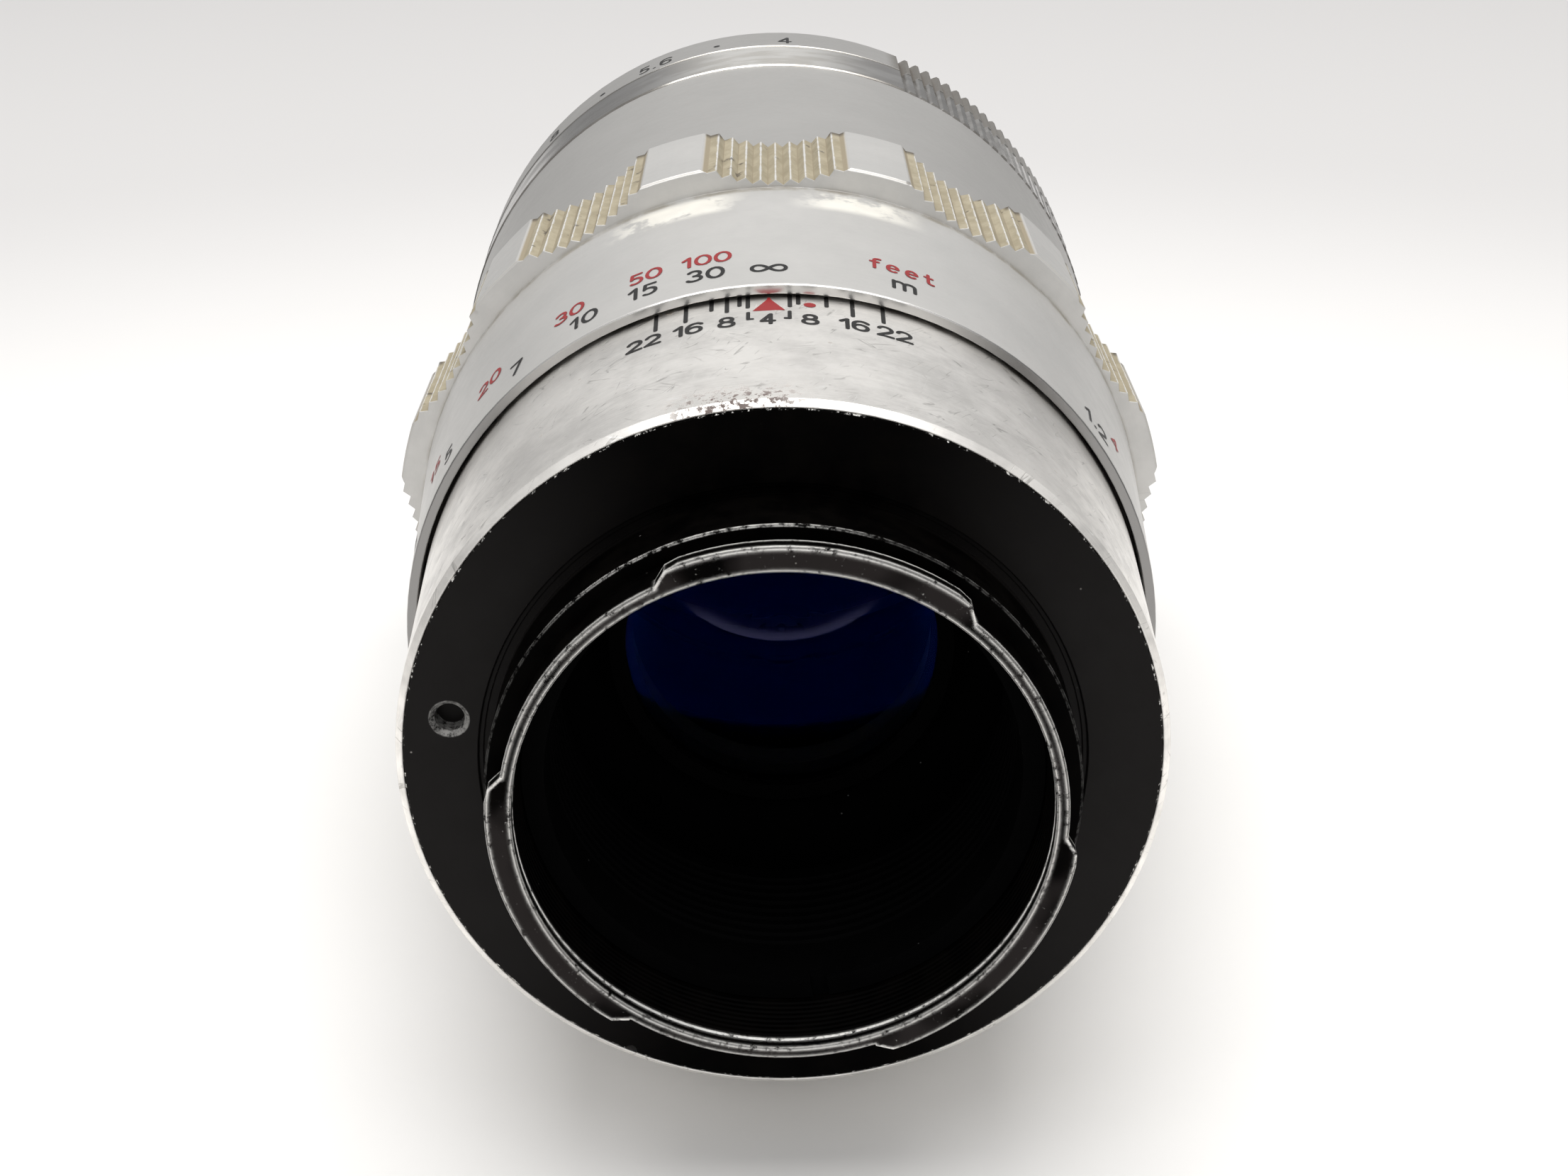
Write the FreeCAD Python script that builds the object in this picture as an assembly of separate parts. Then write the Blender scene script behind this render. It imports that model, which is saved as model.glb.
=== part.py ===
import FreeCAD, Part
import math
import os

# Prime camera lens, 135 mm f/4, lying on its side.
# The optical axis is the Y axis.  The rear (bayonet) faces -Y, the front glass faces +Y.
# The seating face of the mount flange is the plane y = 0 and +Z is up.
# Angles are degrees clockwise from the top, seen from the rear.

VEC = FreeCAD.Vector
ORIGIN = VEC(0, 0, 0)
AXIS = VEC(0, 1, 0)

# ---- driving dimensions, millimetres and degrees ----
FLANGE_R = 29.0
FLANGE_T = 2.2
THROAT_R = 19.92
PILOT_R = 22.25
PILOT_LEN = 5.3
NECK_R = 20.9
LUG_R = 21.9
LUG_REAR = -8.5
LUG_T = 1.3
LUG_CENTRES = (8.0, 128.0, 248.0)
LUG_SPAN = 66.0
LOCK_HOLE_R = 1.15
LOCK_HOLE_AT = 25.6
LOCK_HOLE_DEG = -80.0

RIM_R = 29.6
BARREL_FRONT_R = 30.6
BARREL_LAP_Y = 21.3
BARREL_END_Y = 23.5
SLEEVE_IN_R = 27.0
SLEEVE_SEAT_R = 27.9
SLEEVE_OUT_R = 29.8
SLEEVE_END_Y = 47.4

RUN = 0.05
RING_REAR_Y = 21.3
RING_REAR_R = 31.75
RING_STEP_Y = 44.5
RING_STEP_R = 33.6
LAND_R = 35.8
GRIP_END_Y = 58.8
RING_BORE_R = 30.95
BEARING_R = 29.0
BEARING_Y = 49.0
SCALLOPS = 12
SCALLOP_SPAN = 21.4
SCALLOP_ROOT_R = 33.75
RIBS = 10
RIB_DEPTH = 0.48

TUBE_REAR_Y = 20.3
FRONT_REAR_Y = 58.9
FRONT_REAR_R = 33.4
FRONT_CONE_Y = 91.1
FRONT_CONE_R = 34.85
STEM_R = 33.0
STEM_BORE_R = 31.2
STEM_END_Y = 107.6
JOIN_DEGS = (90.0, 180.0, 270.0)
CLICK_DEG = 180.0
CLICK_Y = 103.0
CLICK_BALL_R = 0.78
CLICK_AT = 32.2

STOP_REAR_Y = 91.25
STOP_EDGE_Y = 100.5
STOP_REAR_R = 35.0
STOP_EDGE_R = 35.15
STOP_FRONT_R = 35.3
STOP_FRONT_Y = 107.6
STOP_TRAVEL = 119.0
KNURL_PITCH = 2.25
KNURL_DEPTH = 0.42
KNURL_SECTORS = ((24.0, 90.0), (144.0, 210.0))

BLADES = 12
BLADE_PIVOT_R = 23.0
BLADE_TAIL = 8.0
BLADE_IN_R = 17.0
BLADE_OUT_R = 22.3
BLADE_SPAN = 132.0
BLADE_TURN = 35.3
BLADE_Y = 91.25
BLADE_T = 0.09
BLADE_PITCH = 0.134
PIVOT_PIN_R = 0.3
DRIVE_PIN_R = 0.25
TRACK_HALF = 0.3
IRIS_OPEN_R = 16.9
CAM_Y0 = 92.9
CAM_Y1 = 94.1
CAM_R = 29.3
EAR_DEG = -60.0
PIN_R = 0.6

REAR_GLASS_R = 13.9
REAR_GLASS_Y = 21.5
FILTER_R = 28.62


# ---- small helpers ----
def turned(points):
    """Solid of revolution about the optical axis from (radius, y) corners."""
    wire = Part.makePolygon([VEC(r, y, 0) for r, y in points + points[:1]])
    body = Part.Face(wire).revolve(ORIGIN, AXIS, 360)
    if body.Volume < 0:
        body.reverse()
    return body


def at(radius, deg, y):
    """Point at a radius and clockwise angle from the top."""
    a = math.radians(deg)
    return VEC(radius * math.sin(a), y, radius * math.cos(a))


def outward(deg):
    """Unit radial direction at a clockwise angle."""
    return at(1.0, deg, 0.0)


def along_y(radius, y0, y1, centre):
    """Cylinder parallel to the axis through a point."""
    return Part.makeCylinder(radius, y1 - y0, VEC(centre.x, y0, centre.z), AXIS)


def radial(radius, r0, r1, deg, y):
    """Cylinder pointing outward from the axis."""
    return Part.makeCylinder(radius, r1 - r0, at(r0, deg, y), outward(deg))


def plate(points, y0, y1):
    """Flat plate from (x, z) corners, between two y planes."""
    wire = Part.makePolygon([VEC(x, y0, z) for x, z in points + points[:1]])
    body = Part.Face(wire).extrude(VEC(0, y1 - y0, 0))
    if body.Volume < 0:
        body.reverse()
    return body


def spun(shape, deg):
    """Copy turned clockwise about the optical axis."""
    copy = shape.copy()
    copy.rotate(ORIGIN, AXIS, deg)
    return copy


def wedge(r_out, y0, y1, deg0, deg1):
    """Sector of a disc between two clockwise angles."""
    body = Part.makeCylinder(r_out, y1 - y0, VEC(0, y0, 0), AXIS, deg1 - deg0)
    start = body.copy()
    base = start.Solids[0].CenterOfMass
    now = math.degrees(math.atan2(base.x, base.z))
    start.rotate(ORIGIN, AXIS, (deg0 + deg1) / 2.0 - now)
    return start


def ring_sector(r_in, r_out, y0, y1, deg0, deg1):
    """Sector of a ring between two clockwise angles."""
    body = wedge(r_out, y0, y1, deg0, deg1)
    return body.cut(Part.makeCylinder(r_in, y1 - y0 + 2, VEC(0, y0 - 1, 0), AXIS))


def screw(r_head, h_head, r_shank, length, seat, direction):
    """Slotted countersunk-style screw, head top at the seat, shank going inward."""
    inward = direction * -1.0
    head = Part.makeCone(r_head, r_shank, h_head, seat, inward)
    shank = Part.makeCylinder(r_shank, length - h_head, seat + inward * h_head, inward)
    side = direction.cross(AXIS)
    if side.Length < 0.5:
        side = VEC(1, 0, 0)
    slot = Part.makeBox(2.4 * r_head, 0.34, 0.6 * h_head)
    slot.translate(VEC(-1.2 * r_head, -0.17, -0.6 * h_head))
    turn = FreeCAD.Rotation(VEC(0, 0, 1), direction)
    slot.Placement = FreeCAD.Placement(seat, turn).multiply(slot.Placement)
    return head.fuse(shank).cut(slot)


def lens_solid(radius, y_rear, r_rear, y_front, r_front):
    """Lens element: positive surface radii bulge to the rear or to the front."""
    steps = 16
    rear = []
    front = []
    for i in range(steps + 1):
        h = radius * i / steps
        sag_rear = abs(r_rear) - math.sqrt(r_rear * r_rear - h * h)
        sag_front = abs(r_front) - math.sqrt(r_front * r_front - h * h)
        rear.append(VEC(h, y_rear + math.copysign(sag_rear, r_rear), 0))
        front.append(VEC(h, y_front - math.copysign(sag_front, r_front), 0))
    back = Part.Arc(rear[0], rear[steps // 2], rear[-1]).toShape()
    edge = Part.makeLine(rear[-1], front[-1])
    face = Part.Arc(front[-1], front[steps // 2], front[0]).toShape()
    core = Part.makeLine(front[0], rear[0])
    body = Part.Face(Part.Wire([back, edge, face, core])).revolve(ORIGIN, AXIS, 360)
    if body.Volume < 0:
        body.reverse()
    return body


# ---- fixed rear section ----
def bayonet_mount():
    grooves = []
    y = LUG_REAR + 1.0
    while y < -2.6:
        grooves += [(THROAT_R, y), (THROAT_R + 0.16, y + 0.15), (THROAT_R, y + 0.3)]
        y += 0.6
    inner = [(THROAT_R + 0.15, LUG_REAR), (THROAT_R, LUG_REAR + 0.15)] + grooves
    inner += [(THROAT_R, FLANGE_T)]
    outer = [(FLANGE_R, FLANGE_T), (FLANGE_R, 0.12), (FLANGE_R - 0.12, 0.0), (23.3, 0.0)]
    outer += [(23.2, 0.3), (22.9, 0.3), (22.85, 0.45), (PILOT_R, 0.45)]
    outer += [(PILOT_R, -PILOT_LEN + 0.15), (PILOT_R - 0.15, -PILOT_LEN)]
    outer += [(NECK_R, -PILOT_LEN), (NECK_R, LUG_REAR + 0.2), (NECK_R - 0.2, LUG_REAR)]
    body = turned(inner + outer)
    for centre in LUG_CENTRES:
        body = body.fuse(bayonet_lug(centre))
    centre = at(LOCK_HOLE_AT, LOCK_HOLE_DEG, 0)
    body = body.cut(along_y(LOCK_HOLE_R, -0.5, 1.6, centre))
    body = body.cut(Part.makeCone(LOCK_HOLE_R + 0.35, LOCK_HOLE_R, 0.35, centre, AXIS))
    body = body.cut(along_y(0.55, -0.5, 0.9, at(FLANGE_R, 206.0, 0)))
    for i in range(4):
        body = body.cut(along_y(0.8, 0.9, FLANGE_T + 1, at(25.4, 30 + 90 * i, 0)))
    return body.removeSplitter()


def bayonet_lug(centre):
    """One claw at the rear end of the tube, with short ramped ends."""
    half = LUG_SPAN / 2.0
    steps = 22
    rim = []
    for i in range(steps + 1):
        deg = centre - half + LUG_SPAN * i / steps
        near = min(i, steps - i) * LUG_SPAN / steps
        ramp = min(1.0, math.sqrt(near / 4.5)) if near < 4.5 else 1.0
        p = at(NECK_R + (LUG_R - NECK_R) * ramp, deg, 0)
        rim.append((p.x, p.z))
    for i in range(steps + 1):
        p = at(20.4, centre + half - LUG_SPAN * i / steps, 0)
        rim.append((p.x, p.z))
    body = plate(rim, LUG_REAR, LUG_REAR + LUG_T)
    trim = [(20.1, LUG_REAR), (LUG_R - 0.2, LUG_REAR), (LUG_R, LUG_REAR + 0.2)]
    trim += [(LUG_R, LUG_REAR + LUG_T), (20.1, LUG_REAR + LUG_T)]
    return body.common(turned(trim))


def mount_screw(deg):
    centre = at(25.4, deg, 5.4)
    return screw(1.5, 0.9, 0.8, 4.4, centre, AXIS)


def fixed_barrel():
    outer = [(FLANGE_R, 0.05), (FLANGE_R + 0.1, 0.0), (RIM_R, 0.45)]
    outer += [(BARREL_FRONT_R, BARREL_LAP_Y), (BARREL_FRONT_R, BARREL_END_Y)]
    inner = [(SLEEVE_OUT_R, BARREL_END_Y), (SLEEVE_OUT_R, 20.9), (SLEEVE_SEAT_R, 20.9)]
    inner += [(SLEEVE_SEAT_R, 4.5), (23.0, 4.5), (23.0, FLANGE_T), (FLANGE_R, FLANGE_T)]
    body = turned(outer + inner)
    for i in range(4):
        body = body.cut(along_y(0.8, 0, 10, at(25.4, 30 + 90 * i, 0)))
        hole = Part.makeCone(0.8, 1.5, 0.9, at(25.4, 30 + 90 * i, 4.5), AXIS)
        body = body.cut(hole).cut(along_y(1.5, 5.4, 8, at(25.4, 30 + 90 * i, 0)))
    return body


def focus_sleeve():
    body = turned([
        (SLEEVE_IN_R, 6.0), (SLEEVE_SEAT_R, 6.0), (SLEEVE_SEAT_R, 20.9),
        (SLEEVE_OUT_R, 20.9), (SLEEVE_OUT_R, SLEEVE_END_Y - 0.4),
        (SLEEVE_OUT_R - 0.4, SLEEVE_END_Y), (SLEEVE_IN_R, SLEEVE_END_Y)])
    for deg in (90.0, -90.0):
        body = body.cut(guide_key_blank(deg))
        body = body.cut(radial(0.7, 26.0, 31.0, deg, 44.0))
        body = body.cut(Part.makeCone(1.3, 0.7, 0.8, at(29.75, deg, 44.0), outward(deg) * -1))
        body = body.cut(radial(1.3, 29.75, 31.0, deg, 44.0))
    return body


def guide_key_blank(deg):
    key = Part.makeBox(3.0, 6.0, 2.5, VEC(-1.5, 41.0, 25.6))
    return spun(key, deg)


def guide_key(deg):
    return guide_key_blank(deg).cut(radial(0.7, 26.3, 31.0, deg, 44.0))


def guide_screw(deg):
    return screw(1.3, 0.8, 0.7, 3.4, at(29.75, deg, 44.0), outward(deg))


def rear_baffle():
    teeth = []
    y = 3.0
    while y < 13.5:
        teeth += [(18.1, y), (18.4, y + 0.3), (18.1, y + 0.6)]
        y += 1.2
    body = turned([
        (18.1, -2.0)] + teeth + [(18.1, 14.6), (19.3, 14.6), (19.3, 3.0),
        (THROAT_R, 3.0), (THROAT_R, -1.85), (THROAT_R - 0.15, -2.0)])
    for deg in (172.0, -8.0):
        notch = Part.makeBox(1.3, 1.0, 3.0, VEC(-0.65, -2.5, 17.5))
        body = body.cut(spun(notch, deg))
    return body


# ---- focusing ring ----
def grip_outline():
    """Twelve scallops, each cut with ten fine V ribs, between smooth lands."""
    points = []
    pitch = 360.0 / SCALLOPS
    half = SCALLOP_SPAN / 2.0
    edge_x = LAND_R * math.sin(math.radians(half))
    edge_z = LAND_R * math.cos(math.radians(half))
    drop = edge_z - SCALLOP_ROOT_R
    cutter = (edge_x * edge_x + drop * drop) / (2.0 * drop)
    sweep = math.asin(edge_x / cutter)
    for k in range(SCALLOPS):
        centre = k * pitch
        for i in range(2 * RIBS + 1):
            a = -sweep + 2.0 * sweep * i / (2 * RIBS)
            crest = (i % 2 == 0) and 0 < i < 2 * RIBS
            reach = cutter - (RIB_DEPTH if crest else 0.0)
            x = reach * math.sin(a)
            z = SCALLOP_ROOT_R + cutter - reach * math.cos(a)
            deg = centre + math.degrees(math.atan2(x, z))
            p = at(math.hypot(x, z), deg, 0)
            points.append((p.x, p.z))
        for i in range(1, 4):
            p = at(LAND_R, centre + half + (pitch - SCALLOP_SPAN) * i / 4.0, 0)
            points.append((p.x, p.z))
    return points


def focus_ring():
    blank = turned([
        (RING_BORE_R, RING_REAR_Y), (RING_REAR_R - 0.1, RING_REAR_Y),
        (RING_REAR_R, RING_REAR_Y + 0.12), (RING_STEP_R, RING_STEP_Y),
        (LAND_R - 0.22, RING_STEP_Y), (LAND_R, RING_STEP_Y + 0.22),
        (LAND_R, GRIP_END_Y - 0.15), (LAND_R - 0.15, GRIP_END_Y),
        (BEARING_R, GRIP_END_Y), (BEARING_R, BEARING_Y), (RING_BORE_R, BEARING_Y)])
    scale = Part.makeCylinder(RING_STEP_R + 0.01, 24.5, VEC(0, 20, 0), AXIS)
    grip = plate(grip_outline(), RING_STEP_Y, GRIP_END_Y + 1)
    return blank.common(scale.fuse(grip)).removeSplitter()


def helicoid_nut():
    turns = []
    y = 25.2
    while y < 32.0:
        turns += [(SLEEVE_OUT_R + RUN, y), (SLEEVE_OUT_R + 0.45, y + 0.4)]
        turns += [(SLEEVE_OUT_R + 0.45, y + 0.8), (SLEEVE_OUT_R + RUN, y + 1.2)]
        y += 1.8
    return turned([(SLEEVE_OUT_R + RUN, 24.6)] + turns + [
        (SLEEVE_OUT_R + RUN, 33.4), (RING_BORE_R, 33.4), (RING_BORE_R, 24.6)])


def focus_retaining_ring():
    body = turned([(26.95, 47.6), (30.5, 47.6), (30.5, 48.9), (26.95, 48.9)])
    for i in range(3):
        slot = Part.makeBox(1.6, 0.7, 4.0, VEC(-0.8, 47.3, 27.6))
        body = body.cut(spun(slot, 60 + 120 * i))
    return body


# ---- moving optical unit ----
def inner_barrel():
    body = turned([
        (25.2, TUBE_REAR_Y), (26.75, TUBE_REAR_Y), (26.95, TUBE_REAR_Y + 0.2),
        (26.95, 48.9), (28.95, 48.9), (28.95, FRONT_REAR_Y), (26.95, FRONT_REAR_Y),
        (26.95, 65.0), (25.2, 65.0)])
    for deg in (90.0, -90.0):
        slot = Part.makeBox(3.04, 27.1, 4.0, VEC(-1.52, 20.0, 24.6))
        body = body.cut(spun(slot, deg))
    return body


def rear_cell():
    body = turned([
        (13.25, 20.6), (14.6, 20.6), (15.4, 21.4), (15.4, 24.6), (25.2, 24.6),
        (25.2, 27.2), (15.4, 27.2), (15.4, 28.6), (REAR_GLASS_R, 28.6),
        (REAR_GLASS_R, REAR_GLASS_Y), (13.25, REAR_GLASS_Y)])
    for deg in (35.0, 215.0):
        body = body.cut(along_y(0.9, 24.0, 25.6, at(20.5, deg, 0)))
    return body


def rear_element():
    return lens_solid(REAR_GLASS_R, 22.2, -140.0, 26.4, 60.0)


def rear_retaining_ring():
    edge = 26.4 - (60.0 - math.sqrt(60.0 ** 2 - REAR_GLASS_R ** 2))
    return turned([
        (12.9, edge + 0.26), (REAR_GLASS_R, edge + 0.02),
        (REAR_GLASS_R, 28.4), (12.9, 28.4)])


def middle_baffle():
    return turned([(19.2, 61.6), (19.5, 61.3), (25.2, 60.6), (25.2, 62.2), (19.5, 61.9)])


def front_barrel():
    body = turned([
        (26.95, FRONT_REAR_Y), (FRONT_REAR_R - 0.1, FRONT_REAR_Y),
        (FRONT_REAR_R, FRONT_REAR_Y + 0.1), (FRONT_CONE_R, FRONT_CONE_Y - 0.1),
        (FRONT_CONE_R - 0.1, FRONT_CONE_Y), (STEM_R, FRONT_CONE_Y),
        (STEM_R, STEM_END_Y), (STEM_BORE_R, STEM_END_Y), (STEM_BORE_R, 89.6),
        (28.6, 89.6), (28.6, 87.6), (31.0, 85.0), (31.0, 70.0), (28.6, 66.0),
        (26.95, 66.0)])
    body = body.cut(arm_slot(30.9, 33.6, 0.65))
    body = body.cut(radial(0.82, 30.5, 33.6, CLICK_DEG, CLICK_Y))
    for deg in JOIN_DEGS:
        body = body.cut(radial(0.8, 25.5, 34.5, deg, 62.5))
        body = body.cut(radial(1.0, 30.6, 34.5, deg, 62.5))
    return body


def arm_slot(r_in, r_out, half):
    """Arc-shaped clearance for the arm that links the stop ring to the cam plate."""
    mid = (CAM_Y0 + CAM_Y1) / 2.0
    span = ring_sector(r_in, r_out, mid - half, mid + half, EAR_DEG - 3.5, EAR_DEG + STOP_TRAVEL + 3.5)
    return span


def joining_screw(deg):
    """Headless slotted grub screw locking the front barrel to the inner barrel."""
    body = radial(0.8, 26.95, 30.6, deg, 62.5)
    slot = Part.makeBox(2.4, 0.3, 1.0, VEC(-1.2, 62.35, 30.0))
    return body.cut(spun(slot, deg))


def iris_housing():
    body = turned([
        (IRIS_OPEN_R, 90.4), (17.6, 89.6), (STEM_BORE_R, 89.6), (STEM_BORE_R, 95.2),
        (29.4, 95.2), (29.4, 91.2), (IRIS_OPEN_R, 91.2)])
    body = body.cut(arm_slot(29.0, 31.6, 0.75))
    for i in range(BLADES):
        body = body.cut(along_y(PIVOT_PIN_R + 0.05, 89.9, 92.0, at(BLADE_PIVOT_R, 360.0 / BLADES * i, 0)))
    return body


def iris_blade(index):
    """Thin crescent blade with a pivot pin to the rear and a drive pin to the front."""
    steps = 24
    y0 = BLADE_Y + BLADE_PITCH * index
    y1 = y0 + BLADE_T
    outline = [(-BLADE_TAIL - 0.75, BLADE_PIVOT_R - 0.6), (-BLADE_TAIL - 0.75, BLADE_PIVOT_R + 0.6)]
    outline += [(-BLADE_TAIL, BLADE_PIVOT_R + 0.85), (0.0, BLADE_PIVOT_R + 0.95)]
    outline += [(0.9, BLADE_PIVOT_R + 0.5), (1.2, BLADE_PIVOT_R - 0.6)]
    for i in range(steps + 1):
        p = at(BLADE_OUT_R, 4.5 + (BLADE_SPAN - 4.5) * i / steps, 0)
        outline.append((p.x, p.z))
    for i in range(steps + 1):
        p = at(BLADE_IN_R, BLADE_SPAN - (BLADE_SPAN + 3.0) * i / steps, 0)
        outline.append((p.x, p.z))
    outline += [(-1.4, BLADE_PIVOT_R - 1.6), (-3.0, BLADE_PIVOT_R - 0.85)]
    body = plate(outline, y0, y1)
    body = body.fuse(along_y(PIVOT_PIN_R, 90.1, y0, VEC(0, 0, BLADE_PIVOT_R)))
    body = body.fuse(along_y(DRIVE_PIN_R, y1, CAM_Y1 - 0.1, VEC(-BLADE_TAIL, 0, BLADE_PIVOT_R)))
    return spun(body, 360.0 / BLADES * index)


def cam_path(offset):
    """Track of a blade drive pin seen from the turning cam plate."""
    steps = 36
    left = []
    right = []
    track = []
    for i in range(-1, steps + 2):
        phi = math.radians(BLADE_TURN * i / steps)
        x = -BLADE_TAIL * math.cos(phi)
        z = BLADE_PIVOT_R + BLADE_TAIL * math.sin(phi)
        deg = math.degrees(math.atan2(x, z)) - STOP_TRAVEL * i / steps + offset
        p = at(math.hypot(x, z), deg, 0)
        track.append((p.x, p.z))
    for i in range(1, len(track) - 1):
        dx = track[i + 1][0] - track[i - 1][0]
        dz = track[i + 1][1] - track[i - 1][1]
        n = math.hypot(dx, dz)
        ox = -dz / n * TRACK_HALF
        oz = dx / n * TRACK_HALF
        left.append((track[i][0] + ox, track[i][1] + oz))
        right.append((track[i][0] - ox, track[i][1] - oz))
    return left + right[::-1], track[1], track[-2]


def iris_cam_ring():
    body = turned([(17.4, CAM_Y0), (CAM_R, CAM_Y0), (CAM_R, CAM_Y1), (17.4, CAM_Y1)])
    body = body.fuse(ring_sector(29.0, 31.0, CAM_Y0, CAM_Y1, EAR_DEG - 2.6, EAR_DEG + 2.6))
    body = body.cut(radial(PIN_R, 30.0, 33.0, EAR_DEG, (CAM_Y0 + CAM_Y1) / 2.0))
    for i in range(BLADES):
        outline, first, last = cam_path(360.0 / BLADES * i)
        body = body.cut(plate(outline, CAM_Y0 - 1, CAM_Y1 + 1))
        for x, z in (first, last):
            body = body.cut(along_y(TRACK_HALF, CAM_Y0 - 1, CAM_Y1 + 1, VEC(x, 0, z)))
    return body


def iris_retaining_ring():
    body = turned([(27.4, 94.3), (29.4, 94.3), (29.4, 95.1), (27.4, 95.1)])
    return body.cut(ring_sector(26.0, 31.0, 94.0, 95.4, 176.0, 184.0))


def front_cell():
    body = turned([
        (18.2, 95.3), (STEM_BORE_R, 95.3), (STEM_BORE_R, 98.4), (24.6, 98.4),
        (24.6, 105.0), (22.0, 105.0), (22.0, 99.7), (20.0, 99.7), (20.0, 95.95),
        (18.2, 95.95)])
    for deg in (45.0, 225.0):
        body = body.cut(along_y(0.9, 97.0, 99.0, at(27.6, deg, 0)))
    return body


def second_element():
    return lens_solid(20.0, 97.07, -180.0, 98.37, -220.0)


def element_spacer():
    edge = 98.37 + (220.0 - math.sqrt(220.0 ** 2 - 20.0 ** 2))
    return turned([(18.8, 99.5), (19.4, edge), (20.0, edge), (20.0, 99.7), (22.0, 99.7),
                   (22.0, 100.0), (18.8, 100.0)])


def front_element():
    return lens_solid(22.0, 100.0, 600.0, 106.7, 50.0)


def front_retaining_ring():
    edge = 106.7 - (50.0 - math.sqrt(50.0 ** 2 - 22.0 ** 2))
    body = turned([(21.2, edge + 0.45), (22.0, edge + 0.02), (22.0, 104.6), (21.2, 104.6)])
    for deg in (0.0, 180.0):
        notch = Part.makeBox(1.2, 1.0, 2.0, VEC(-0.6, 104.0, 20.8))
        body = body.cut(spun(notch, deg))
    return body


def front_cover_ring():
    return turned([
        (22.2, 105.0), (STEM_BORE_R, 105.0), (STEM_BORE_R, 106.9), (30.2, 106.9),
        (29.6, 106.3), (22.6, 105.7)])


def filter_rim():
    return turned([
        (FILTER_R, 106.9), (FILTER_R, 110.5), (FILTER_R + 0.4, 110.9), (33.9, 110.9),
        (34.2, 110.6), (34.2, 108.0), (33.9, 107.75), (33.0, 107.75), (33.0, 107.6),
        (STEM_BORE_R, 107.6), (STEM_BORE_R, 106.9)])


def click_ball():
    return Part.makeSphere(CLICK_BALL_R, at(CLICK_AT, CLICK_DEG, CLICK_Y))


def click_spring():
    band = ring_sector(30.75, 31.05, 101.4, 104.6, 160.0, 206.0)
    seat = ring_sector(31.0, STEM_BORE_R, 101.4, 104.6, 198.0, 206.0)
    button = radial(0.6, 31.0, CLICK_AT - CLICK_BALL_R - 0.01, CLICK_DEG, CLICK_Y)
    body = band.fuse(seat).fuse(button)
    return body.cut(radial(0.6, 30.0, 32.0, 202.0, 103.0))


def click_spring_screw():
    shank = radial(0.6, 30.1, STEM_BORE_R, 202.0, 103.0)
    head = radial(1.1, 30.13, 30.73, 202.0, 103.0)
    return shank.fuse(head)


# ---- stop ring ----
def knurl_teeth(deg0, deg1):
    """Wedge-shaped cutters for one knurled sector."""
    cutters = []
    count = int(round((deg1 - deg0) / KNURL_PITCH))
    for i in range(count + 1):
        deg = deg0 + KNURL_PITCH * i
        a = at(STOP_REAR_R - KNURL_DEPTH, deg, 0)
        b = at(STOP_FRONT_R + 0.8, deg - 1.75, 0)
        c = at(STOP_FRONT_R + 0.8, deg + 1.75, 0)
        tooth = plate([(a.x, a.z), (b.x, b.z), (c.x, c.z)], STOP_REAR_Y - 1, STOP_FRONT_Y + 1)
        cutters.append(tooth)
    return cutters


def aperture_ring():
    body = turned([
        (STEM_R + RUN, STOP_REAR_Y), (STOP_REAR_R - 0.15, STOP_REAR_Y),
        (STOP_REAR_R, STOP_REAR_Y + 0.15), (STOP_EDGE_R, STOP_EDGE_Y - 0.1),
        (STOP_EDGE_R + 0.08, STOP_EDGE_Y), (STOP_FRONT_R, STOP_FRONT_Y - 0.25),
        (STOP_FRONT_R - 0.25, STOP_FRONT_Y), (STEM_R + RUN, STOP_FRONT_Y)])
    for deg0, deg1 in KNURL_SECTORS:
        body = body.cut(Part.makeCompound(knurl_teeth(deg0, deg1)))
    for deg in (0.0, 24.0, 47.0, 71.0, 95.0, 119.0):
        ball = Part.makeSphere(0.85, at(32.55, CLICK_DEG - deg, CLICK_Y))
        body = body.cut(ball)
    mid = (CAM_Y0 + CAM_Y1) / 2.0
    return body.cut(radial(PIN_R, 32.0, 34.2, EAR_DEG, mid))


def aperture_drive_pin():
    return radial(PIN_R, 30.0, 34.2, EAR_DEG, (CAM_Y0 + CAM_Y1) / 2.0)


NODES = {
    "bayonet_mount": bayonet_mount(),
    "fixed_barrel": fixed_barrel(),
    "focus_sleeve": focus_sleeve(),
    "guide_key_1": guide_key(90.0),
    "guide_key_2": guide_key(-90.0),
    "guide_screw_1": guide_screw(90.0),
    "guide_screw_2": guide_screw(-90.0),
    "rear_baffle": rear_baffle(),
    "focus_ring": focus_ring(),
    "helicoid_nut": helicoid_nut(),
    "focus_retaining_ring": focus_retaining_ring(),
    "inner_barrel": inner_barrel(),
    "rear_cell": rear_cell(),
    "rear_element": rear_element(),
    "rear_retaining_ring": rear_retaining_ring(),
    "middle_baffle": middle_baffle(),
    "front_barrel": front_barrel(),
    "iris_housing": iris_housing(),
    "iris_cam_ring": iris_cam_ring(),
    "iris_retaining_ring": iris_retaining_ring(),
    "front_cell": front_cell(),
    "second_element": second_element(),
    "element_spacer": element_spacer(),
    "front_element": front_element(),
    "front_retaining_ring": front_retaining_ring(),
    "front_cover_ring": front_cover_ring(),
    "filter_rim": filter_rim(),
    "click_ball": click_ball(),
    "click_spring": click_spring(),
    "click_spring_screw": click_spring_screw(),
    "aperture_ring": aperture_ring(),
    "aperture_drive_pin": aperture_drive_pin(),
}
for number in range(4):
    NODES["mount_screw_%d" % (number + 1)] = mount_screw(30.0 + 90.0 * number)
for number in range(3):
    NODES["joining_screw_%d" % (number + 1)] = joining_screw(JOIN_DEGS[number])
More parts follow.
